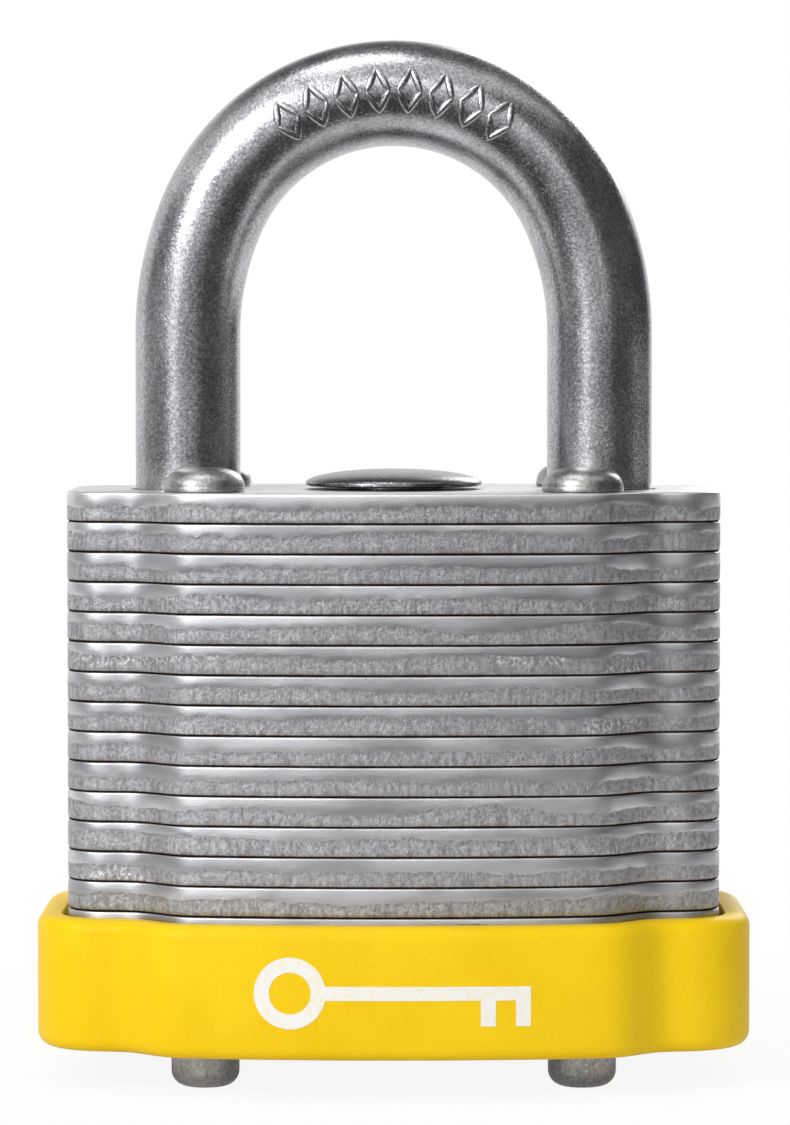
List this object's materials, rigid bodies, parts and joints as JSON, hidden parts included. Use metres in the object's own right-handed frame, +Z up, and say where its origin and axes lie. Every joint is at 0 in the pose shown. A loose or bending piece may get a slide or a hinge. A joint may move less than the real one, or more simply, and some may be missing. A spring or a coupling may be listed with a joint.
{
  "type": "laminated padlock",
  "caption": "Laminated steel padlock with a round bowed shackle, riveted plates, a pin cylinder turned from below and a moulded plastic bumper around its foot.",
  "frame": {"origin": "centre of the body's plan, at the foot of the rivet tails that the padlock stands on", "axes": "+Z up along the shackle's legs, +X from the heel leg to the toe leg, -Y out of the front"},
  "size_m": [0.0438, 0.0258, 0.064],
  "materials": {
    "plate_steel": "satin",
    "rivet_steel": "satin",
    "cap_steel": "polished",
    "bumper_plastic": "satin",
    "shackle_steel": "polished",
    "spring_steel": "polished",
    "bolt_brass": "satin",
    "cam_steel": "satin",
    "plug_brass": "satin",
    "housing_brass": "satin",
    "pin_brass": "polished"
  },
  "bodies": {
    "body": {"top_plate": "plate_steel", "guide_plate_1": "plate_steel", "guide_plate_2": "plate_steel", "bolt_chamber_plate_1": "plate_steel", "bolt_chamber_plate_2": "plate_steel", "cam_plate": "plate_steel", "cylinder_plate_1": "plate_steel", "cylinder_plate_2": "plate_steel", "cylinder_plate_3": "plate_steel", "cylinder_plate_4": "plate_steel", "cylinder_plate_5": "plate_steel", "cylinder_plate_6": "plate_steel", "cylinder_plate_7": "plate_steel", "cylinder_plate_8": "plate_steel", "cylinder_plate_9": "plate_steel", "cylinder_plate_10": "plate_steel", "cylinder_plate_12": "plate_steel", "bumper_groove_plate": "plate_steel", "foot_plate": "plate_steel", "rivet_front_left": "rivet_steel", "rivet_back_left": "rivet_steel", "rivet_front_right": "rivet_steel", "rivet_back_right": "rivet_steel", "top_cap": "cap_steel", "bumper": "bumper_plastic", "cylinder_housing": "housing_brass", "pin_cover": "housing_brass", "shackle_spring": "spring_steel", "bolt_spring_heel": "spring_steel", "bolt_spring_toe": "spring_steel", "pin_spring_1": "spring_steel", "pin_spring_2": "spring_steel", "pin_spring_3": "spring_steel", "pin_spring_4": "spring_steel", "pin_spring_5": "spring_steel"},
    "shackle": {"shackle": "shackle_steel"},
    "plug": {"plug": "plug_brass", "plug_clip": "spring_steel", "cam": "cam_steel"},
    "bolt_toe": {"bolt_toe": "bolt_brass"},
    "bolt_heel": {"bolt_heel": "bolt_brass"},
    "key_pin_1": {"key_pin_1": "pin_brass"},
    "key_pin_2": {"key_pin_2": "pin_brass"},
    "key_pin_3": {"key_pin_3": "pin_brass"},
    "key_pin_4": {"key_pin_4": "pin_brass"},
    "key_pin_5": {"key_pin_5": "pin_brass"},
    "driver_pin_1": {"driver_pin_1": "pin_brass"},
    "driver_pin_2": {"driver_pin_2": "pin_brass"},
    "driver_pin_3": {"driver_pin_3": "pin_brass"},
    "driver_pin_4": {"driver_pin_4": "pin_brass"},
    "driver_pin_5": {"driver_pin_5": "pin_brass"}
  },
  "joints": [
    {"name": "shackle_lift", "type": "slide", "parent": "body", "child": "shackle", "axis": [0, 0, 1], "range_m": [0, 0.012], "deforming": ["shackle_spring"]},
    {"name": "plug_turn", "type": "hinge", "parent": "body", "child": "plug", "pos_m": [0, 0, 0], "axis": [0, 0, 1], "range_deg": [-90, 0]},
    {"name": "bolt_toe_slide", "type": "slide", "parent": "body", "child": "bolt_toe", "axis": [1, 0, 0], "range_m": [0, 0.0012], "deforming": ["bolt_spring_toe", "bolt_spring_heel"]},
    {"name": "bolt_heel_slide", "type": "slide", "parent": "body", "child": "bolt_heel", "axis": [-1, 0, 0], "range_m": [0, 0.0012]},
    {"name": "key_pin_1_slide", "type": "slide", "parent": "plug", "child": "key_pin_1", "axis": [1, 0, 0], "range_m": [0, 0.0012]},
    {"name": "key_pin_2_slide", "type": "slide", "parent": "plug", "child": "key_pin_2", "axis": [1, 0, 0], "range_m": [0, 0.001]},
    {"name": "key_pin_3_slide", "type": "slide", "parent": "plug", "child": "key_pin_3", "axis": [1, 0, 0], "range_m": [0, 0.0012]},
    {"name": "key_pin_4_slide", "type": "slide", "parent": "plug", "child": "key_pin_4", "axis": [1, 0, 0], "range_m": [0, 0.0012]},
    {"name": "key_pin_5_slide", "type": "slide", "parent": "plug", "child": "key_pin_5", "axis": [1, 0, 0], "range_m": [0, 0.0012]},
    {"name": "driver_pin_1_slide", "type": "slide", "parent": "body", "child": "driver_pin_1", "axis": [0, 1, 0], "range_m": [0, 0.0008], "deforming": ["pin_spring_1"]},
    {"name": "driver_pin_2_slide", "type": "slide", "parent": "body", "child": "driver_pin_2", "axis": [0, 1, 0], "range_m": [0, 0.0008], "deforming": ["pin_spring_2"]},
    {"name": "driver_pin_3_slide", "type": "slide", "parent": "body", "child": "driver_pin_3", "axis": [0, 1, 0], "range_m": [0, 0.0008], "deforming": ["pin_spring_3"]},
    {"name": "driver_pin_4_slide", "type": "slide", "parent": "body", "child": "driver_pin_4", "axis": [0, 1, 0], "range_m": [0, 0.0008], "deforming": ["pin_spring_4"]},
    {"name": "driver_pin_5_slide", "type": "slide", "parent": "body", "child": "driver_pin_5", "axis": [0, 1, 0], "range_m": [0, 0.0008], "deforming": ["pin_spring_5"]}
  ],
  "couplings": [
    {"joint": "bolt_toe_slide", "follows": "plug_turn", "m_per_rad": -0.00076394},
    {"joint": "bolt_heel_slide", "follows": "plug_turn", "m_per_rad": -0.00076394}
  ]
}
